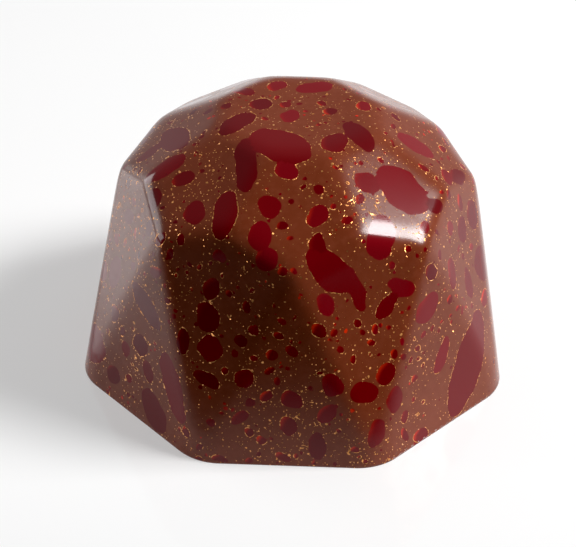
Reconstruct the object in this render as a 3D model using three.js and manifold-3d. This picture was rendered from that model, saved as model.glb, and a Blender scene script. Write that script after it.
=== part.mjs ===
// A moulded chocolate bonbon, cut like an eight-sided gem, with a flat base and a flat top.
// Millimetres, +Z up. The origin is the middle of the flat base, and one side faces -Y.
//
// From the base up, the facets come in three rows of eight and a top:
//   sides    tall triangles, one standing on each straight edge of the base
//   kites    one over each corner of the base, its widest point at the shoulder
//   crowns   five-sided facets that lean in from the shoulder to the top
//   top      a small flat octagon
// Each facet lies in a plane. The solid is what is left behind all the planes, its edges rounded.

import * as THREE from 'three';
import { ConvexGeometry } from 'three/addons/geometries/ConvexGeometry.js';
import { ConvexHull } from 'three/addons/math/ConvexHull.js';
import { mergeVertices } from 'three/addons/utils/BufferGeometryUtils.js';
import Module from 'manifold-3d';

// Driving dimensions
const sideCount = 8;
const baseAcrossFlats = 29;
const bonbonHeight = 18;
const shoulderRadius = 12; // from the axis to a shoulder point, where a side's tip meets a crown's
const shoulderHeight = 13.6;
const crownTilt = 58; // degrees that a crown facet's outward normal points above level
const cornerRadius = 3.8; // of the base's corners, seen from above
const edgeRadius = 0.45; // of every edge between two facets
const cornerCuts = 3; // flats that approximate each rounded base corner
const arcSteps = 4; // flats across each rounded edge

// What follows from them
const sector = 360 / sideCount;
const halfSectorCosine = Math.cos(THREE.MathUtils.degToRad(sector / 2));
const baseApothem = baseAcrossFlats / 2;
const baseCornerRadius = baseApothem / halfSectorCosine;
const cornerArcCentre = (baseApothem - cornerRadius) / halfSectorCosine;

const wasm = await Module();
wasm.setup();

// The plane whose outward normal points to an azimuth (0 is -Y, 90 is +X) and a tilt above level,
// at a distance from the axis measured level, at the given height.
function facetPlane(azimuth, tilt, distance, height) {
  const turn = THREE.MathUtils.degToRad(azimuth);
  const rise = THREE.MathUtils.degToRad(tilt);
  const outward = new THREE.Vector3(Math.sin(turn), -Math.cos(turn), 0);
  const normal = outward.clone().multiplyScalar(Math.cos(rise));
  normal.z = Math.sin(rise);
  const point = outward.multiplyScalar(distance);
  point.z = height;
  return { normal, reach: normal.dot(point) };
}

// The tilt of a facet that leans in from one distance at the base to another at the shoulder.
function leanOf(distanceAtBase, distanceAtShoulder) {
  return THREE.MathUtils.radToDeg(Math.atan2(distanceAtBase - distanceAtShoulder, shoulderHeight));
}

function gemPlanes() {
  const sideTilt = leanOf(baseApothem, shoulderRadius);
  const kiteTilt = leanOf(baseCornerRadius, shoulderRadius * halfSectorCosine);
  const planes = [];
  for (let side = 0; side < sideCount; side++) {
    const faceAzimuth = side * sector;
    const cornerAzimuth = faceAzimuth + sector / 2;
    planes.push(facetPlane(faceAzimuth, sideTilt, baseApothem, 0));
    planes.push(facetPlane(cornerAzimuth, kiteTilt, baseCornerRadius, 0));
    planes.push(facetPlane(faceAzimuth, crownTilt, shoulderRadius, shoulderHeight));
    // The corner's arc lies between two sides, so its flats lean as the sides do.
    for (let cut = 1; cut <= cornerCuts; cut++) {
      const offset = sector * (cut / (cornerCuts + 1) - 0.5);
      const reachOut = cornerArcCentre * Math.cos(THREE.MathUtils.degToRad(offset));
      planes.push(facetPlane(cornerAzimuth + offset, sideTilt, reachOut + cornerRadius, 0));
    }
  }
  planes.push({ normal: new THREE.Vector3(0, 0, 1), reach: bonbonHeight });
  // The last plane is well below the base. The base itself is cut afterwards, so that its edge is crisp.
  planes.push({ normal: new THREE.Vector3(0, 0, -1), reach: edgeRadius * 4 });
  return planes;
}

// The corners of the solid behind the planes, each with the normals that meet there. Seen from a
// point inside, each plane turns into a point (its polar dual), and each triangle of the dual
// points' hull stands for one corner.
function planeCorners(planes, inset) {
  const middle = new THREE.Vector3(0, 0, bonbonHeight / 2);
  const duals = planes.map(({ normal, reach }) => {
    const distance = reach - inset - normal.dot(middle);
    const dual = normal.clone().divideScalar(distance);
    dual.planeNormal = normal;
    return dual;
  });
  const hull = new ConvexHull().setFromPoints(duals);
  return hull.faces.map((face) => {
    const distance = face.normal.dot(face.getEdge(0).head().point);
    const position = face.normal.clone().divideScalar(distance).add(middle);
    const normals = [0, 1, 2].map((index) => face.getEdge(index).head().point.planeNormal);
    return { position, normals };
  });
}

// The directions from one normal round to another, in equal turns.
function normalArc(from, to) {
  const turn = new THREE.Quaternion().setFromUnitVectors(from, to);
  const still = new THREE.Quaternion();
  const directions = [];
  for (let step = 0; step <= arcSteps; step++) {
    const part = still.clone().slerp(turn, step / arcSteps);
    directions.push(from.clone().applyQuaternion(part));
  }
  return directions;
}

// Rounding moves the planes in by the edge radius, then swells the solid by the same radius: the
// facets come back to their places, and each edge turns into an arc.
function roundedGem() {
  const points = [];
  for (const { position, normals } of planeCorners(gemPlanes(), edgeRadius)) {
    normals.forEach((normal, index) => {
      const next = normals[(index + 1) % normals.length];
      for (const direction of normalArc(normal, next)) {
        points.push(direction.multiplyScalar(edgeRadius).add(position));
      }
    });
  }
  return new ConvexGeometry(points);
}

function toManifold(geometry) {
  geometry.deleteAttribute('normal');
  geometry.deleteAttribute('uv');
  const merged = mergeVertices(geometry, 1e-5);
  return new wasm.Manifold(new wasm.Mesh({
    numProp: 3,
    vertProperties: new Float32Array(merged.attributes.position.array),
    triVerts: new Uint32Array(merged.index.array),
  }));
}

function toGeometry(solid) {
  const { vertProperties, triVerts } = solid.getMesh();
  const geometry = new THREE.BufferGeometry();
  geometry.setAttribute('position', new THREE.BufferAttribute(vertProperties, 3));
  geometry.setIndex(new THREE.BufferAttribute(triVerts, 1));
  geometry.computeVertexNormals();
  return geometry;
}

// The scraped base: everything under the origin's level is cut off flat.
function bonbonGeometry() {
  const slabSize = baseAcrossFlats * 2;
  const slab = new THREE.BoxGeometry(slabSize, slabSize, slabSize);
  slab.translate(0, 0, -slabSize / 2);
  return toGeometry(toManifold(roundedGem()).subtract(toManifold(slab)));
}

// Milk chocolate under a polished coat of coloured cocoa butter
const chocolate = new THREE.MeshStandardMaterial({ color: 0x71402c, roughness: 0.18, metalness: 0 });

const bonbon = new THREE.Group();
const shell = new THREE.Mesh(bonbonGeometry(), chocolate);
shell.name = 'bonbon';
bonbon.add(shell);

export default bonbon;
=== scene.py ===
# A moulded chocolate bonbon: milk chocolate in a polished gem shape, under red cocoa-butter splashes
# and gold dust that were sprayed into the mould first, so all of it lies flush under one glossy skin.
from math import atan2, cos, radians, sin, tan

import bmesh
import bpy
import numpy as np
from mathutils import Matrix, Vector, noise


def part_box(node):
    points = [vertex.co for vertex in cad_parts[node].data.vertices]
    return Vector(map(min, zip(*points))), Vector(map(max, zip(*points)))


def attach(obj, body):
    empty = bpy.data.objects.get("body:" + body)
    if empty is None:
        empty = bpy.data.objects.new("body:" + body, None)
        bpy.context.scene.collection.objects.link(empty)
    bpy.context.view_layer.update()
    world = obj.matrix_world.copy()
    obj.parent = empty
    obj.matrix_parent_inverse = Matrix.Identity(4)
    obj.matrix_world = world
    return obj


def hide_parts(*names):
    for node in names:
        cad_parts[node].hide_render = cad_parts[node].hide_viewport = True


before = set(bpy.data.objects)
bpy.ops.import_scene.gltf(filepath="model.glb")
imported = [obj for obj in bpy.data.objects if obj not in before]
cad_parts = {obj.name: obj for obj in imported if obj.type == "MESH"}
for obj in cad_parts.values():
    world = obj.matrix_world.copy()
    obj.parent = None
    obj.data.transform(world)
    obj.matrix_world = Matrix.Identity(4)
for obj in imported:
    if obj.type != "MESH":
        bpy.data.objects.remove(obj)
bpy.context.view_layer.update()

mm = 0.001
lowCorner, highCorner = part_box("bonbon")
halfWidth = (highCorner.x - lowCorner.x) / 2
bonbonHeight = highCorner.z
scene = bpy.context.scene
print("frame loaded, bonbon %.1f mm wide and %.1f mm tall" % (halfWidth * 2 / mm, bonbonHeight / mm))


cameraPlan = {
    "azimuth": 1.4,  # degrees round from the front, towards +X
    "elevation": 36.0,
    "roll": 1.0,
    "distance": 112.8 * mm,
    "aim": (-0.5 * mm, 0.0, 4.9 * mm),
    "lens": 100,
    "sensor": 36,
}


def directionTo(azimuth, elevation):
    # azimuth 0 is the front, -Y, and 90 is the right, +X
    turn, rise = radians(azimuth), radians(elevation)
    return Vector((sin(turn) * cos(rise), -cos(turn) * cos(rise), sin(rise)))


def makeCamera(plan):
    lensData = bpy.data.cameras.new("camera")
    lensData.lens = plan["lens"]
    lensData.sensor_width = plan["sensor"]
    lensData.clip_start = 5 * mm
    lensData.clip_end = 5
    camera = bpy.data.objects.new("camera", lensData)
    scene.collection.objects.link(camera)
    back = directionTo(plan["azimuth"], plan["elevation"])
    camera.location = Vector(plan["aim"]) + back * plan["distance"]
    level = (-back).to_track_quat("-Z", "Y").to_matrix().to_4x4()
    roll = Matrix.Rotation(radians(plan["roll"]), 4, "Z")
    camera.rotation_euler = (level @ roll).to_euler()
    scene.camera = camera
    print("camera placed")


makeCamera(cameraPlan)


gemPlan = {
    "sides": 8,
    "shoulderRadius": 12.0 * mm,
    "shoulderHeight": 13.6 * mm,
    "crownTilt": 58,  # degrees that a crown facet looks up
    "cornerRadius": 3.8 * mm,  # of the base's corners, from above
    "cornerCuts": 9,
    # longest edge and rounds of smoothing: first coarse, to round the edges off as the mould does, then
    # fine enough to carry the splashes' outlines
    "levels": [(0.6 * mm, 7), (0.245 * mm, 12)],
    "passes": 7,  # of splitting, at most, on each level
    "keptBelow": 4.0 * mm,  # the rounding fades out towards the base, which was open in the mould
    "crispBelow": 0.25 * mm,
    "waveHeight": 0.012 * mm,  # the facets are a little wavy, as cast ones are
    "waveLength": 5.0 * mm,
}
sector = 360 / gemPlan["sides"]
sideLean = atan2(halfWidth - gemPlan["shoulderRadius"], gemPlan["shoulderHeight"])
cornerReach = halfWidth / cos(radians(sector / 2))
kiteReach = gemPlan["shoulderRadius"] * cos(radians(sector / 2))
kiteLean = atan2(cornerReach - kiteReach, gemPlan["shoulderHeight"])


def cutFlat(gem, azimuth, tilt, reach, height):
    # slices off what is outside a plane and closes the cut with one facet
    level = directionTo(azimuth, 0)
    normal = level * cos(tilt) + Vector((0, 0, sin(tilt)))
    point = level * reach + Vector((0, 0, height))
    cut = bmesh.ops.bisect_plane(
        gem,
        geom=gem.verts[:] + gem.edges[:] + gem.faces[:],
        dist=1e-7,
        plane_co=point,
        plane_no=normal,
        clear_outer=True,
    )
    rim = [piece for piece in cut["geom_cut"] if isinstance(piece, bmesh.types.BMEdge)]
    if rim:
        bmesh.ops.edgenet_fill(gem, edges=rim)


def makeGem(plan):
    gem = bmesh.new()
    # the eight sides: a tapered prism from the base to the top
    topReach = (halfWidth - tan(sideLean) * bonbonHeight) / cos(radians(sector / 2))
    bmesh.ops.create_cone(
        gem,
        cap_ends=True,
        segments=plan["sides"],
        radius1=cornerReach,
        radius2=topReach,
        depth=bonbonHeight,
    )
    bmesh.ops.rotate(gem, verts=gem.verts, matrix=Matrix.Rotation(radians(sector / 2), 3, "Z"))
    bmesh.ops.translate(gem, verts=gem.verts, vec=(0, 0, bonbonHeight / 2))
    cornerCentre = (halfWidth - plan["cornerRadius"]) / cos(radians(sector / 2))
    for side in range(plan["sides"]):
        faceAzimuth = side * sector
        cornerAzimuth = faceAzimuth + sector / 2
        crownTilt = radians(plan["crownTilt"])
        cutFlat(gem, faceAzimuth, crownTilt, plan["shoulderRadius"], plan["shoulderHeight"])
        cutFlat(gem, cornerAzimuth, kiteLean, cornerReach, 0)
        for cut in range(plan["cornerCuts"]):
            offset = sector * ((cut + 1) / (plan["cornerCuts"] + 1) - 0.5)
            reach = cornerCentre * cos(radians(offset)) + plan["cornerRadius"]
            cutFlat(gem, cornerAzimuth + offset, sideLean, reach, 0)
    print("gem cut:", len(gem.faces), "facets")
    return gem


def splitLong(gem, longestEdge, passes):
    # splits every edge over the longest length again and again, apart from those of the base
    for _ in range(passes):
        long = [
            edge
            for edge in gem.edges
            if edge.calc_length() > longestEdge and any(face.normal.z > -0.9 for face in edge.link_faces)
        ]
        if not long:
            break
        bmesh.ops.subdivide_edges(gem, edges=long, cuts=1)
        uneven = [face for face in gem.faces if len(face.verts) > 3 and face.normal.z > -0.9]
        bmesh.ops.triangulate(gem, faces=uneven)
        upper = [face for face in gem.faces if face.normal.z > -0.9]
        edges = [edge for edge in gem.edges if any(face.normal.z > -0.9 for face in edge.link_faces)]
        bmesh.ops.beautify_fill(gem, faces=upper, edges=edges)


def softenGem(gem, plan):
    # rounds every edge but the base's, level by level, and makes the facets a little wavy
    bmesh.ops.recalc_face_normals(gem, faces=gem.faces)
    base = [face for face in gem.faces if face.normal.z < -0.9]
    bmesh.ops.inset_region(gem, faces=base, thickness=plan["crispBelow"], use_even_offset=True)
    upper = [face for face in gem.faces if face.normal.z > -0.9]
    bmesh.ops.triangulate(gem, faces=upper)
    for longestEdge, rounds in plan["levels"]:
        splitLong(gem, longestEdge, plan["passes"])
        free = [vert for vert in gem.verts if vert.co.z > plan["crispBelow"]]
        before = [vert.co.copy() for vert in free]
        for _ in range(rounds):
            bmesh.ops.smooth_vert(
                gem, verts=free, factor=0.5, use_axis_x=True, use_axis_y=True, use_axis_z=True
            )
        for vert, start in zip(free, before):
            vert.co = start.lerp(vert.co, min(start.z / plan["keptBelow"], 1))
        print("gem softened:", len(gem.verts), "vertices")
    middle = Vector((0, 0, bonbonHeight / 3))
    for vert in free:
        wave = noise.noise(vert.co / plan["waveLength"]) * 0.5 + 0.5
        inward = (middle - vert.co).normalized()
        vert.co += inward * wave * plan["waveHeight"]


def meshToPiece(builder, name):
    mesh = bpy.data.meshes.new(name)
    builder.to_mesh(mesh)
    builder.free()
    piece = bpy.data.objects.new(name, mesh)
    scene.collection.objects.link(piece)
    return piece


gem = makeGem(gemPlan)
softenGem(gem, gemPlan)
bonbon = meshToPiece(gem, "bonbonShell")
for polygon in bonbon.data.polygons:
    polygon.use_smooth = True
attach(bonbon, "root")
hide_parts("bonbon")
print("shell made:", len(bonbon.data.vertices), "vertices")


# Cocoa butter flicked into the mould. Each row is one large drop, placed to half a millimetre:
# how far across and up its facet from the lowest middle point (the middle itself on the top), its
# length and width, all in mm, and how far its length leans from level, in degrees. Drops that touch
# run together. All the smaller drops are scattered.
splashPlan = {
    "drops": {
        ("top", 0): [
            (-1.0, -4.0, 4.5, 3.0, -30), (-4.0, -1.5, 3.0, 1.5, 45), (4.0, -2.5, 3.0, 1.5, -60),
            (2.5, -3.5, 2.0, 1.5, 75), (1.0, 3.5, 2.5, 1.5, 15), (-1.5, 3.5, 1.5, 1.0, 45),
            (-2.5, 1.0, 1.5, 1.5, 0), (-0.5, -0.5, 1.5, 1.0, 60),
        ],
        ("crown", 0): [
            (-2.0, 2.5, 2.0, 1.5, 90), (-1.5, 1.0, 1.5, 1.5, -75), (-1.5, 4.5, 1.5, 1.5, 90),
            (-0.5, 7.0, 1.5, 1.0, -15), (1.5, 4.0, 1.5, 1.0, 60), (1.5, 2.0, 1.5, 1.0, 90),
        ],
        ("crown", 1): [
            (1.0, 4.0, 4.0, 3.0, -75), (-2.5, 2.0, 3.0, 2.0, 45), (-1.0, 5.5, 1.5, 1.5, 0),
            (2.5, 2.0, 1.5, 1.0, -30),
        ],
        ("crown", 2): [(3.5, 2.5, 2.0, 1.0, 0), (-1.5, 1.5, 2.0, 1.0, -30), (-2.5, 2.5, 1.5, 1.0, 0)],
        ("crown", 6): [(0.5, 4.5, 4.0, 2.0, 30), (0.5, 2.5, 2.0, 1.0, -60)],
        ("crown", 7): [
            (1.5, 7.0, 4.0, 1.5, -45), (-3.5, 4.0, 3.0, 1.5, 60), (3.0, 3.5, 3.5, 1.5, -60),
            (1.0, 2.5, 1.5, 1.5, 0), (-1.5, 4.0, 1.5, 1.0, 30), (-2.5, 2.0, 1.5, 1.0, -60),
        ],
        ("kite", 0): [
            (-2.0, 14.0, 4.0, 2.0, -45), (-0.5, 12.5, 3.0, 1.0, -75), (2.5, 12.0, 2.0, 1.0, -30),
            (1.5, 11.0, 2.0, 1.0, 45), (-2.5, 12.0, 1.5, 1.0, -75), (-0.5, 5.5, 2.0, 1.5, -30),
            (1.5, 4.5, 2.0, 1.0, 75), (0.0, 2.5, 2.0, 1.0, 75), (1.0, 6.5, 1.5, 1.0, 75),
        ],
        ("kite", 1): [
            (2.0, 9.0, 2.5, 2.0, 90), (2.5, 12.5, 2.0, 1.5, -75), (0.5, 12.5, 1.5, 1.5, 0),
            (-2.5, 11.0, 2.0, 1.0, 75), (-0.5, 9.0, 2.0, 1.0, 90),
        ],
        ("kite", 6): [(0.0, 8.5, 2.0, 2.0, 0)],
        ("kite", 7): [
            (-0.5, 10.0, 2.0, 1.5, 90), (-0.5, 12.0, 1.5, 1.0, 90), (0.0, 8.0, 1.5, 1.5, 0),
            (-2.0, 8.0, 1.5, 1.0, 90), (0.0, 6.0, 2.0, 1.0, -15),
        ],
        ("side", 0): [(2.5, 4.0, 1.5, 1.0, 60), (2.0, 1.5, 2.0, 1.0, 90), (0.0, 3.0, 1.5, 1.0, -60)],
        ("side", 1): [
            (3.0, 3.5, 7.5, 3.0, 60), (-0.5, 9.5, 2.0, 1.5, 30), (0.5, 5.5, 2.5, 1.0, 60),
            (-2.0, 0.5, 1.5, 1.0, -30),
        ],
        ("side", 7): [
            (3.0, 4.0, 5.0, 1.5, -60), (1.5, 1.5, 3.0, 2.0, -45), (-0.5, 8.5, 3.5, 1.5, -30),
            (-0.5, 5.5, 1.5, 1.5, 0), (0.5, 4.0, 1.5, 1.0, -60),
        ],
    },
    "seed": 11,
    # drops that fall anywhere, away from the placed ones: how many, shortest and longest, in mm
    "scattered": [(16, 2.0, 3.8), (60, 1.0, 1.6), (150, 0.6, 1.1), (560, 0.22, 0.6)],
    "runTogether": 0.18,  # mm over which two drops that touch melt into one outline
    "swell": 0.05,  # mm by which every drop is a little larger than its row says
    "reach": 1.4,  # mm around a drop in which its distance is kept
    "wobble": [(2.4, 0.25), (0.9, 0.15)],  # mm between bends of an outline, and how far they push it
    "glowFrom": (-0.75, -0.25, 0.6),  # the side of a drop where a painted glow shows, standing in for light that went through it and comes out there
    "dustPatches": [
        # gold dust lies thickest here: facet row, facet, across and up in mm, radius in mm, strength
        ("crown", 1, -1.6, 4.5, 4.0, 1.0), ("crown", 7, -0.8, 4.2, 4.2, 0.9),
        ("side", 0, 0.5, 2.8, 5.0, 0.9), ("kite", 0, 2.0, 9.0, 4.0, 0.6),
        ("kite", 7, -3.2, 11.0, 3.0, 0.7), ("side", 7, 1.0, 4.0, 4.0, 0.5),
        ("kite", 0, -1.0, 2.0, 3.5, 0.8), ("crown", 6, -2.0, 2.0, 3.0, 0.5),
        ("crown", 3, 0.0, 4.0, 4.5, 0.8), ("side", 3, 0.0, 6.0, 5.0, 0.8),
        ("kite", 4, 0.0, 5.0, 5.0, 0.8), ("side", 5, 1.0, 3.0, 5.0, 0.7),
    ],
}


def facetFrame(row, side):
    # the lowest middle point of a facet, its level direction, its direction up the slope, its normal
    if row == "top":
        return Vector((0, 0, bonbonHeight)), Vector((1, 0, 0)), Vector((0, 1, 0)), Vector((0, 0, 1))
    azimuth = (side + (0.5 if row == "kite" else 0)) * sector
    tilt = {"side": sideLean, "kite": kiteLean, "crown": radians(gemPlan["crownTilt"])}[row]
    reach = {"side": halfWidth, "kite": cornerReach, "crown": gemPlan["shoulderRadius"]}[row]
    height = gemPlan["shoulderHeight"] if row == "crown" else 0
    level = directionTo(azimuth, 0)
    across = directionTo(azimuth + 90, 0)
    normal = level * cos(tilt) + Vector((0, 0, sin(tilt)))
    return level * reach + Vector((0, 0, height)), across, normal.cross(across), normal


def placedDrops(plan):
    drops = []
    for (row, side), rows in plan["drops"].items():
        start, across, up, normal = facetFrame(row, side)
        for right, rise, length, width, lean in rows:
            centre = start + (across * right + up * rise) * mm
            along = across * cos(radians(lean)) + up * sin(radians(lean))
            drops.append((centre, along, normal.cross(along), normal, length * mm / 2, width * mm / 2))
    return drops


def hitFacet(direction, facets):
    # where a ray from inside the gem leaves it, and the normal there
    middle = Vector((0, 0, bonbonHeight / 3))
    hits = []
    for start, across, up, normal in facets:
        facing = normal.dot(direction)
        if facing > 0.01:
            hits.append((normal.dot(start - middle) / facing, normal))
    distance, normal = min(hits, key=lambda hit: hit[0])
    return middle + direction * distance, normal


def scatteredDrops(plan, placed, dice):
    # falls anywhere on the gem, and keeps clear of the drops before it
    facets = [
        facetFrame(row, side)
        for row in ("side", "kite", "crown")
        for side in range(gemPlan["sides"])
    ]
    facets.append(facetFrame("top", 0))
    drops = list(placed)
    for count, shortest, longest in plan["scattered"]:
        made = tries = 0
        while made < count and tries < count * 30:
            tries += 1
            direction = Vector(dice.normal(size=3)).normalized()
            length = shortest + (longest - shortest) * dice.random() ** 2
            width = length * dice.uniform(0.5, 0.95)
            turn = dice.uniform(0, 180)
            gap = (0.1 + 0.25 * length) * mm
            if direction.z < -0.5:
                continue
            centre, normal = hitFacet(direction, facets)
            if centre.z < 0.1 * mm:
                continue
            if any((centre - drop[0]).length < drop[4] + length * mm / 2 + gap for drop in drops):
                continue
            level = Vector((0, 0, 1)).cross(normal)
            across = level.normalized() if level.length > 0.1 else Vector((1, 0, 0))
            along = Matrix.Rotation(radians(turn), 3, normal) @ across
            drops.append((centre, along, normal.cross(along), normal, length * mm / 2, width * mm / 2))
            made += 1
    return drops


def settledDrops(drops, points):
    # lowers each drop onto the mesh, which lies a little inside the flat facets near their edges
    settled = []
    for centre, along, beside, normal, halfLength, halfDropWidth in drops:
        nearest = points[((points - np.array(centre)) ** 2).sum(axis=1).argmin()]
        lowered = centre + normal * (Vector(nearest) - centre).dot(normal)
        settled.append((lowered, along, beside, normal, halfLength, halfDropWidth))
    return settled


def wobbled(points, plan):
    moved = points.copy()
    for spacing, push in plan["wobble"]:
        bends = [noise.noise_vector(Vector(point) / (spacing * mm)) for point in points]
        moved += np.array(bends) * push * mm
    return moved


def paintSplashes(piece, plan):
    # writes the splashes on the mesh: how far each point is from the nearest drop's outline, in mm
    # (less than 0 inside), and that drop's own shade, gold rim and painted glow
    mesh = piece.data
    points = np.empty(len(mesh.vertices) * 3)
    mesh.vertices.foreach_get("co", points)
    points = points.reshape(-1, 3)
    dice = np.random.default_rng(plan["seed"])
    drops = settledDrops(scatteredDrops(plan, placedDrops(plan), dice), points)
    noise.seed_set(plan["seed"])  # or the bends would differ each time
    shaped = wobbled(points, plan)
    reach = plan["reach"] * mm
    melt = plan["runTogether"] * mm
    outline = np.full(len(points), reach)
    nearest = np.full(len(points), reach)
    shade, rim, glow = np.zeros((3, len(points)))
    glowFrom = Vector(plan["glowFrom"]).normalized()
    for centre, along, beside, normal, halfLength, halfDropWidth in drops:
        offset = shaped - np.array(centre)
        close = np.nonzero((offset**2).sum(axis=1) < (halfLength + reach) ** 2)[0]
        halves = np.array([halfLength, halfDropWidth, (halfLength + halfDropWidth) / 2])
        local = offset[close] @ np.array([along, beside, normal]).T
        spread = np.linalg.norm(local / halves, axis=1)
        slope = np.linalg.norm(local / halves**2, axis=1) + 1e-9
        distance = spread * (spread - 1) / slope - plan["swell"] * mm
        before = outline[close]
        blend = np.clip(0.5 + 0.5 * (before - distance) / melt, 0, 1)
        outline[close] = before + (distance - before) * blend - melt * blend * (1 - blend)
        own = distance < nearest[close]
        mine = close[own]
        nearest[mine] = distance[own]
        shade[mine] = dice.random()
        rim[mine] = dice.random()
        # painted light: the glow is brightest on the drop's side towards glowFrom, and only on small drops
        towards = np.array([glowFrom.dot(along), glowFrom.dot(beside), glowFrom.dot(normal)])
        lit = (local[own] / halves) @ towards
        small = min(max(2.2 - 2 * halfLength / mm, 0), 1)
        glow[mine] = np.clip(lit * 1.6 - 0.5, 0, 1) * dice.random() * small
    dust = np.zeros(len(points))
    for row, side, right, rise, radius, strength in plan["dustPatches"]:
        start, across, up, normal = facetFrame(row, side)
        centre = np.array(start + (across * right + up * rise) * mm)
        away = np.linalg.norm(points - centre, axis=1) / (radius * mm)
        dust = np.maximum(dust, strength * np.clip(1.3 - away, 0, 1))
    layers = {"outline": outline / mm, "shade": shade, "rim": rim, "glow": glow, "dust": dust}
    for name, values in layers.items():
        layer = mesh.attributes.new(name, "FLOAT", "POINT")
        layer.data.foreach_set("value", values)
    print("splashes painted:", len(drops))


paintSplashes(bonbon, splashPlan)


def hexColour(code):
    # an sRGB hex value as linear red, green, blue and alpha
    parts = [int(code[start:start + 2], 16) / 255 for start in (1, 3, 5)]
    linear = [part / 12.92 if part <= 0.04045 else ((part + 0.055) / 1.055) ** 2.4 for part in parts]
    return (*linear, 1)


def addNode(tree, kind, settings=None, inputs=None):
    node = tree.nodes.new(kind)
    for name, value in (settings or {}).items():
        setattr(node, name, value)
    for name, value in (inputs or {}).items():
        if isinstance(value, bpy.types.NodeSocket):
            tree.links.new(value, node.inputs[name])
        else:
            node.inputs[name].default_value = value
    return node


skinPlan = {
    "brown": "#76341c",
    "brownLight": "#7a3922",
    "brownDark": "#6f2f17",
    "cloudSize": 4.5,  # mm
    "mottleSize": 0.5,
    "reds": ["#5e0006", "#6c0208", "#780712"],
    # painted light: the orange-red of the glow painted where light would come out of a drop
    "redPaintedGlow": "#d8300c",
    "outlineSoft": 0.03,
    "outlineRagged": 0.05,
    "raggedSize": 0.35,
    "speckSize": 0.8,  # mm between the finest red specks
    "speckRadius": 0.1,
    "gold": "#d2742c",
    "goldPale": "#f4b870",
    "dustSizes": [(0.2, 0.031), (0.42, 0.056)],  # mm between grains, and a grain's radius
    "dustThin": 0.36,  # share of the grains that show where the dust is thinnest
    "dustThick": 0.65,  # and how many more show in a patch
    "veinSize": 0.8,
    "veinWidth": 0.022,
    "veinBreak": 0.53,  # the higher a break, the less of a vein, rim or bead is left
    "rimWidth": 0.045,
    "rimDash": 0.5,
    "rimBreak": 0.72,
    "beadSize": 0.16,
    "beadBreak": 0.47,
    "roughness": (0.2, 0.11, 0.32),  # of brown, red and gold
    "grainTilt": 0.7,
    "goldMetal": 0.5,
    "ior": 1.36,
}


def perMillimetre(size):
    return 1 / (size * mm)


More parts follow.
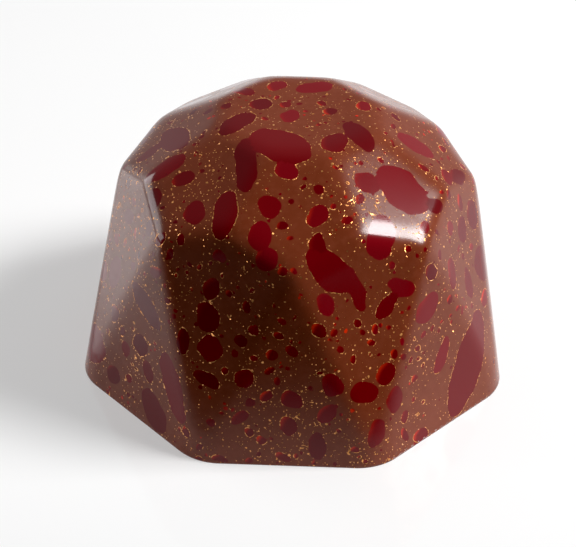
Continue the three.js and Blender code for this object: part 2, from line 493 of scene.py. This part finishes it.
def makeSkin(plan):
    # tempered milk chocolate cast against a polished mould: a deep even gloss, with the red and gold
    # cocoa butter flush under it. The red is glassy and dark, and the gold is bright metallic dust.
    material = bpy.data.materials.new("polishedMilkChocolate")
    material.use_nodes = True
    tree = material.node_tree
    tree.nodes.clear()
    place = addNode(tree, "ShaderNodeTexCoord").outputs["Object"]
    painted = {
        name: addNode(tree, "ShaderNodeAttribute", {"attribute_name": name}).outputs["Fac"]
        for name in ("outline", "shade", "rim", "glow", "dust")
    }

    # brown: soft clouds a few millimetres wide, over a fine mottle
    clouds = addNode(tree, "ShaderNodeTexNoise", None, {
        "Vector": place, "Scale": perMillimetre(plan["cloudSize"]), "Detail": 3.0,
    })
    cloudAmount = addNode(tree, "ShaderNodeMapRange", None, {
        "Value": clouds.outputs["Fac"], "From Min": 0.35, "From Max": 0.65,
    })
    cloudy = addNode(tree, "ShaderNodeMix", {"data_type": "RGBA"}, {
        0: cloudAmount.outputs[0], 6: hexColour(plan["brownDark"]), 7: hexColour(plan["brown"]),
    })
    mottle = addNode(tree, "ShaderNodeTexNoise", None, {
        "Vector": place, "Scale": perMillimetre(plan["mottleSize"]), "Detail": 4.0,
    })
    mottleAmount = addNode(tree, "ShaderNodeMapRange", None, {
        "Value": mottle.outputs["Fac"], "From Min": 0.45, "From Max": 0.8,
    })
    brown = addNode(tree, "ShaderNodeMix", {"data_type": "RGBA"}, {
        0: mottleAmount.outputs[0], 6: cloudy.outputs[2], 7: hexColour(plan["brownLight"]),
    })

    # a ragged place, so that outlines and grains are not perfect curves
    ragged = addNode(tree, "ShaderNodeTexNoise", None, {
        "Vector": place, "Scale": perMillimetre(plan["raggedSize"]), "Detail": 2.0,
    })
    centred = addNode(tree, "ShaderNodeVectorMath", {"operation": "SUBTRACT"}, {
        0: ragged.outputs["Color"], 1: (0.5, 0.5, 0.5),
    })
    raggedPlace = addNode(tree, "ShaderNodeVectorMath", {"operation": "MULTIPLY_ADD"}, {
        0: centred.outputs[0], 1: (0.25 * mm, 0.25 * mm, 0.25 * mm), 2: place,
    })

    # red: the painted drops, and specks too fine to paint
    push = addNode(tree, "ShaderNodeMath", {"operation": "MULTIPLY_ADD"}, {
        0: ragged.outputs["Fac"], 1: plan["outlineRagged"] * 2, 2: -plan["outlineRagged"],
    })
    edge = addNode(tree, "ShaderNodeMath", {"operation": "ADD"}, {
        0: painted["outline"], 1: push.outputs[0],
    })
    drop = addNode(tree, "ShaderNodeMapRange", None, {
        "Value": edge.outputs[0], "From Min": -plan["outlineSoft"], "From Max": plan["outlineSoft"],
        "To Min": 1.0, "To Max": 0.0,
    })
    specks = addNode(tree, "ShaderNodeTexVoronoi", None, {
        "Vector": raggedPlace.outputs[0], "Scale": perMillimetre(plan["speckSize"]),
    })
    speckParts = addNode(tree, "ShaderNodeSeparateColor", None, {"Color": specks.outputs["Color"]})
    speckRadius = addNode(tree, "ShaderNodeMath", {"operation": "MULTIPLY"}, {
        0: speckParts.outputs["Green"], 1: 1.6 * plan["speckRadius"] / plan["speckSize"],
    })
    speck = addNode(tree, "ShaderNodeMath", {"operation": "LESS_THAN"}, {
        0: specks.outputs["Distance"], 1: speckRadius.outputs[0],
    })
    red = addNode(tree, "ShaderNodeMath", {"operation": "MAXIMUM"}, {
        0: drop.outputs[0], 1: speck.outputs[0],
    })
    reds = addNode(tree, "ShaderNodeValToRGB", None, {"Fac": painted["shade"]})
    stops = reds.color_ramp.elements
    stops[0].color = hexColour(plan["reds"][0])
    stops[1].color = hexColour(plan["reds"][2])
    stops.new(0.5).color = hexColour(plan["reds"][1])
    # painted light: an orange-red glow near the edge of some drops, where light that went through them
    # would come out
    nearEdge = addNode(tree, "ShaderNodeMapRange", None, {
        "Value": painted["outline"], "From Min": -0.45, "From Max": -0.1,
    })
    paintedGlowHere = addNode(tree, "ShaderNodeMath", {"operation": "MULTIPLY"}, {
        0: painted["glow"], 1: nearEdge.outputs[0],
    })
    lit = addNode(tree, "ShaderNodeMix", {"data_type": "RGBA"}, {
        0: paintedGlowHere.outputs[0], 6: reds.outputs["Color"], 7: hexColour(plan["redPaintedGlow"]),
    })

    # gold: grains in patches and thick around drops, thin veins, and a broken rim on some drops
    nearDrop = addNode(tree, "ShaderNodeMapRange", None, {
        "Value": painted["outline"], "From Min": 0.0, "From Max": 0.6, "To Min": 0.3, "To Max": 0.0,
    })
    thickness = addNode(tree, "ShaderNodeMath", {"operation": "MULTIPLY_ADD"}, {
        0: painted["dust"], 1: plan["dustThick"], 2: plan["dustThin"],
    })
    density = addNode(tree, "ShaderNodeMath", {"operation": "ADD"}, {
        0: nearDrop.outputs[0], 1: thickness.outputs[0],
    })
    gold = None
    grainColour = None
    for spacing, radius in plan["dustSizes"]:
        grains = addNode(tree, "ShaderNodeTexVoronoi", None, {
            "Vector": raggedPlace.outputs[0], "Scale": perMillimetre(spacing),
        })
        parts = addNode(tree, "ShaderNodeSeparateColor", None, {"Color": grains.outputs["Color"]})
        here = addNode(tree, "ShaderNodeMath", {"operation": "LESS_THAN"}, {
            0: parts.outputs["Red"], 1: density.outputs[0],
        })
        size = addNode(tree, "ShaderNodeMath", {"operation": "MULTIPLY_ADD"}, {
            0: parts.outputs["Green"], 1: radius / spacing, 2: 0.5 * radius / spacing,
        })
        inside = addNode(tree, "ShaderNodeMath", {"operation": "LESS_THAN"}, {
            0: grains.outputs["Distance"], 1: size.outputs[0],
        })
        grain = addNode(tree, "ShaderNodeMath", {"operation": "MULTIPLY"}, {
            0: here.outputs[0], 1: inside.outputs[0],
        })
        if gold is None:
            gold, grainColour = grain.outputs[0], grains.outputs["Color"]
        else:
            both = addNode(tree, "ShaderNodeMath", {"operation": "MAXIMUM"}, {
                0: gold, 1: grain.outputs[0],
            })
            gold = both.outputs[0]
    veins = addNode(tree, "ShaderNodeTexVoronoi", {"feature": "DISTANCE_TO_EDGE"}, {
        "Vector": raggedPlace.outputs[0], "Scale": perMillimetre(plan["veinSize"]),
    })
    vein = addNode(tree, "ShaderNodeMath", {"operation": "LESS_THAN"}, {
        0: veins.outputs["Distance"], 1: plan["veinWidth"] / plan["veinSize"],
    })
    breaks = addNode(tree, "ShaderNodeTexNoise", None, {
        "Vector": place, "Scale": perMillimetre(plan["rimDash"]), "Detail": 1.0,
    })
    veinBreaks = addNode(tree, "ShaderNodeMath", {"operation": "MULTIPLY"}, {
        0: breaks.outputs["Fac"], 1: painted["dust"],
    })
    veinHere = addNode(tree, "ShaderNodeMath", {"operation": "GREATER_THAN"}, {
        0: veinBreaks.outputs[0], 1: plan["veinBreak"],
    })
    veinGold = addNode(tree, "ShaderNodeMath", {"operation": "MULTIPLY"}, {
        0: vein.outputs[0], 1: veinHere.outputs[0],
    })
    grainOrVein = addNode(tree, "ShaderNodeMath", {"operation": "MAXIMUM"}, {
        0: gold, 1: veinGold.outputs[0],
    })
    notRed = addNode(tree, "ShaderNodeMath", {"operation": "SUBTRACT"}, {0: 1.0, 1: red.outputs[0]})
    besideRed = addNode(tree, "ShaderNodeMath", {"operation": "MULTIPLY"}, {
        0: grainOrVein.outputs[0], 1: notRed.outputs[0],
    })
    offRim = addNode(tree, "ShaderNodeMath", {"operation": "SUBTRACT"}, {
        0: edge.outputs[0], 1: plan["rimWidth"] * 0.4,
    })
    rimDistance = addNode(tree, "ShaderNodeMath", {"operation": "ABSOLUTE"}, {0: offRim.outputs[0]})
    onRim = addNode(tree, "ShaderNodeMath", {"operation": "LESS_THAN"}, {
        0: rimDistance.outputs[0], 1: plan["rimWidth"] * 0.5,
    })
    rimChance = addNode(tree, "ShaderNodeMath", {"operation": "MULTIPLY_ADD"}, {
        0: painted["rim"], 1: 0.35, 2: breaks.outputs["Fac"],
    })
    rimHere = addNode(tree, "ShaderNodeMath", {"operation": "GREATER_THAN"}, {
        0: rimChance.outputs[0], 1: plan["rimBreak"],
    })
    beads = addNode(tree, "ShaderNodeTexNoise", None, {
        "Vector": place, "Scale": perMillimetre(plan["beadSize"]), "Detail": 0.0,
    })
    bead = addNode(tree, "ShaderNodeMath", {"operation": "GREATER_THAN"}, {
        0: beads.outputs["Fac"], 1: plan["beadBreak"],
    })
    beadHere = addNode(tree, "ShaderNodeMath", {"operation": "MULTIPLY"}, {
        0: rimHere.outputs[0], 1: bead.outputs[0],
    })
    rim = addNode(tree, "ShaderNodeMath", {"operation": "MULTIPLY"}, {
        0: onRim.outputs[0], 1: beadHere.outputs[0],
    })
    allGold = addNode(tree, "ShaderNodeMath", {"operation": "MAXIMUM"}, {
        0: besideRed.outputs[0], 1: rim.outputs[0],
    })
    gold = allGold.outputs[0]
    goldTint = addNode(tree, "ShaderNodeMix", {"data_type": "RGBA"}, {
        0: ragged.outputs["Fac"], 6: hexColour(plan["gold"]), 7: hexColour(plan["goldPale"]),
    })

    # all three in one skin
    brownRed = addNode(tree, "ShaderNodeMix", {"data_type": "RGBA"}, {
        0: red.outputs[0], 6: brown.outputs[2], 7: lit.outputs[2],
    })
    colour = addNode(tree, "ShaderNodeMix", {"data_type": "RGBA"}, {
        0: gold, 6: brownRed.outputs[2], 7: goldTint.outputs[2],
    })
    brownRough, redRough, goldRough = plan["roughness"]
    wetness = addNode(tree, "ShaderNodeMix", None, {0: red.outputs[0], 2: brownRough, 3: redRough})
    roughness = addNode(tree, "ShaderNodeMix", None, {0: gold, 2: wetness.outputs[0], 3: goldRough})
    geometry = addNode(tree, "ShaderNodeNewGeometry")
    # each grain of dust is a flake that lies at its own angle
    tilt = addNode(tree, "ShaderNodeVectorMath", {"operation": "SUBTRACT"}, {
        0: grainColour, 1: (0.5, 0.5, 0.5),
    })
    tilted = addNode(tree, "ShaderNodeVectorMath", {"operation": "SCALE"}, {
        0: tilt.outputs[0], "Scale": plan["grainTilt"],
    })
    tiltAmount = addNode(tree, "ShaderNodeVectorMath", {"operation": "SCALE"}, {
        0: tilted.outputs[0], "Scale": gold,
    })
    facing = addNode(tree, "ShaderNodeVectorMath", {"operation": "ADD"}, {
        0: geometry.outputs["Normal"], 1: tiltAmount.outputs[0],
    })
    facing = addNode(tree, "ShaderNodeVectorMath", {"operation": "NORMALIZE"}, {0: facing.outputs[0]})
    metal = addNode(tree, "ShaderNodeMath", {"operation": "MULTIPLY"}, {0: gold, 1: plan["goldMetal"]})
    surface = addNode(tree, "ShaderNodeBsdfPrincipled", None, {
        "Base Color": colour.outputs[2],
        "Metallic": metal.outputs[0],
        "Roughness": roughness.outputs[0],
        "IOR": plan["ior"],
        "Normal": facing.outputs[0],
    })
    addNode(tree, "ShaderNodeOutputMaterial", None, {"Surface": surface.outputs[0]})
    return material


basePlan = {
    "brown": "#6f3722",
    "brownLight": "#85492f",
    "scrapeSize": 0.4,  # mm between scrape marks
    "scrapeDepth": 0.02,
    "cloudSize": 6,
    "roughness": 0.42,
    "ior": 1.42,
}


def makeBase(plan):
    # the open side of the mould, scraped level with a knife: plain chocolate, duller, with long fine lines
    material = bpy.data.materials.new("scrapedMilkChocolate")
    material.use_nodes = True
    tree = material.node_tree
    tree.nodes.clear()
    place = addNode(tree, "ShaderNodeTexCoord").outputs["Object"]
    stretched = addNode(tree, "ShaderNodeMapping", None, {"Vector": place, "Scale": (0.05, 1.0, 1.0)})
    lines = addNode(tree, "ShaderNodeTexNoise", None, {
        "Vector": stretched.outputs[0], "Scale": perMillimetre(plan["scrapeSize"]), "Detail": 3.0,
    })
    clouds = addNode(tree, "ShaderNodeTexNoise", None, {
        "Vector": place, "Scale": perMillimetre(plan["cloudSize"]), "Detail": 3.0,
    })
    mixed = addNode(tree, "ShaderNodeMath", {"operation": "MULTIPLY"}, {
        0: lines.outputs["Fac"], 1: clouds.outputs["Fac"],
    })
    amount = addNode(tree, "ShaderNodeMapRange", None, {
        "Value": mixed.outputs[0], "From Min": 0.15, "From Max": 0.4,
    })
    colour = addNode(tree, "ShaderNodeMix", {"data_type": "RGBA"}, {
        0: amount.outputs[0], 6: hexColour(plan["brown"]), 7: hexColour(plan["brownLight"]),
    })
    marks = addNode(tree, "ShaderNodeBump", None, {
        "Height": lines.outputs["Fac"], "Distance": plan["scrapeDepth"] * mm, "Strength": 0.6,
    })
    surface = addNode(tree, "ShaderNodeBsdfPrincipled", None, {
        "Base Color": colour.outputs[2],
        "Roughness": plan["roughness"],
        "IOR": plan["ior"],
        "Normal": marks.outputs[0],
    })
    addNode(tree, "ShaderNodeOutputMaterial", None, {"Surface": surface.outputs[0]})
    return material


bonbon.data.materials.append(makeSkin(skinPlan))
bonbon.data.materials.append(makeBase(basePlan))
for polygon in bonbon.data.polygons:
    if polygon.normal.z < -0.9:
        polygon.material_index = 1
        polygon.use_smooth = False
print("materials made")


studioPlan = {
    "floorSize": 3.0,
    "floorColour": "#cccccc",
    "floorRoughness": 0.06,
    "floorIor": 1.9,  # high, so that the mirror image shows
    "floorGlow": 0.38,  # the sheet is lit from below, which lightens the shadow
    "backLow": 0.85,  # light from behind, near the floor, where a white sweep rises
    "backHigh": 0.26,
    "front": 0.04,  # it is dark behind the camera
    "softboxes": [
        # azimuth, elevation, distance in m, width and height in m, watts
        (92.6, 42.2, 0.45, 0.155, 0.155, 2.8),  # the key, at the right
        (107.0, 42.2, 0.455, 0.022, 0.155, 0.02),  # its edge fades out towards the back
        (-108, 14, 0.55, 0.5, 0.2, 1.4),  # a low white card at the left
    ],
    "shadeSheetStart": 14.6 * mm,  # in front of here a black sheet that the camera does not see paints shade into what the front facets reflect, keeping them deep and dark
    "shadeSheetFade": 18 * mm,
    "shadeSheetSize": 0.8,
    "shadeSheetColour": "#0a0a0a",
}


def makeFloor(plan):
    floorMesh = bmesh.new()
    bmesh.ops.create_grid(floorMesh, x_segments=1, y_segments=1, size=plan["floorSize"] / 2)
    floor = meshToPiece(floorMesh, "floor")
    # a smooth white sheet that shows a faint mirror image of what stands on it
    material = bpy.data.materials.new("glossyWhiteSheet")
    material.use_nodes = True
    tree = material.node_tree
    tree.nodes.clear()
    surface = addNode(tree, "ShaderNodeBsdfPrincipled", None, {
        "Base Color": hexColour(plan["floorColour"]),
        "Roughness": plan["floorRoughness"],
        "IOR": plan["floorIor"],
        "Emission Color": (1, 1, 1, 1),
        "Emission Strength": plan["floorGlow"],
    })
    addNode(tree, "ShaderNodeOutputMaterial", None, {"Surface": surface.outputs[0]})
    floor.data.materials.append(material)
    floor.location.z = -0.02 * mm


def makeShadeSheet(plan):
    # painted shade: lies in front, and is only there for the gem to reflect, so the front facets show
    # darkness instead of the white floor
    shadeSheetMesh = bmesh.new()
    bmesh.ops.create_grid(shadeSheetMesh, x_segments=1, y_segments=1, size=plan["shadeSheetSize"] / 2)
    shadeSheet = meshToPiece(shadeSheetMesh, "shadeSheet")
    # painted shade: matt black that drinks up light, sheer at the edge by the gem so that it starts softly
    material = bpy.data.materials.new("paintedShadeSheet")
    material.use_nodes = True
    tree = material.node_tree
    tree.nodes.clear()
    place = addNode(tree, "ShaderNodeTexCoord").outputs["Object"]
    parts = addNode(tree, "ShaderNodeSeparateXYZ", None, {"Vector": place})
    edge = plan["shadeSheetSize"] / 2
    cover = addNode(tree, "ShaderNodeMapRange", None, {
        "Value": parts.outputs["Y"], "From Min": edge, "From Max": edge - plan["shadeSheetFade"],
    })
    sheer = addNode(tree, "ShaderNodeBsdfTransparent")
    paintedShade = addNode(tree, "ShaderNodeBsdfDiffuse", None, {"Color": hexColour(plan["shadeSheetColour"])})
    surface = addNode(tree, "ShaderNodeMixShader", None, {
        0: cover.outputs[0], 1: sheer.outputs[0], 2: paintedShade.outputs[0],
    })
    addNode(tree, "ShaderNodeOutputMaterial", None, {"Surface": surface.outputs[0]})
    shadeSheet.data.materials.append(material)
    shadeSheet.location = (0, -plan["shadeSheetStart"] - edge, 0.1 * mm)
    shadeSheet.visible_camera = False
    shadeSheet.visible_shadow = False


def makeRoom(plan):
    # a soft grey room that is dark behind the camera
    world = bpy.data.worlds.new("studio")
    world.use_nodes = True
    tree = world.node_tree
    tree.nodes.clear()
    direction = addNode(tree, "ShaderNodeTexCoord").outputs["Generated"]
    parts = addNode(tree, "ShaderNodeSeparateXYZ", None, {"Vector": direction})
    back = addNode(tree, "ShaderNodeMapRange", None, {
        "Value": parts.outputs["Z"], "From Min": 0.06, "From Max": 0.22,
        "To Min": plan["backLow"], "To Max": plan["backHigh"],
    })
    strength = addNode(tree, "ShaderNodeMapRange", None, {
        "Value": parts.outputs["Y"], "From Min": -0.2, "From Max": 0.45,
        "To Min": plan["front"], "To Max": back.outputs[0],
    })
    background = addNode(tree, "ShaderNodeBackground", None, {
        "Color": (1, 1, 1, 1), "Strength": strength.outputs[0],
    })
    addNode(tree, "ShaderNodeOutputWorld", None, {"Surface": background.outputs[0]})
    scene.world = world


def makeSoftboxes(plan):
    for number, (azimuth, elevation, distance, width, height, power) in enumerate(plan["softboxes"]):
        lamp = bpy.data.lights.new("softbox%d" % number, "AREA")
        lamp.shape = "RECTANGLE"
        lamp.size, lamp.size_y = width, height
        lamp.energy = power
        softbox = bpy.data.objects.new(lamp.name, lamp)
        scene.collection.objects.link(softbox)
        away = directionTo(azimuth, elevation)
        softbox.location = away * distance
        softbox.rotation_euler = (-away).to_track_quat("-Z", "Y").to_euler()


makeFloor(studioPlan)
makeShadeSheet(studioPlan)
makeRoom(studioPlan)
makeSoftboxes(studioPlan)
# plain colours, with a touch more depth in the darkest tones
scene.view_settings.view_transform = "Standard"
scene.view_settings.use_curve_mapping = True
scene.view_settings.curve_mapping.black_level = (0.0015, 0.0015, 0.0015)
print("studio lit")
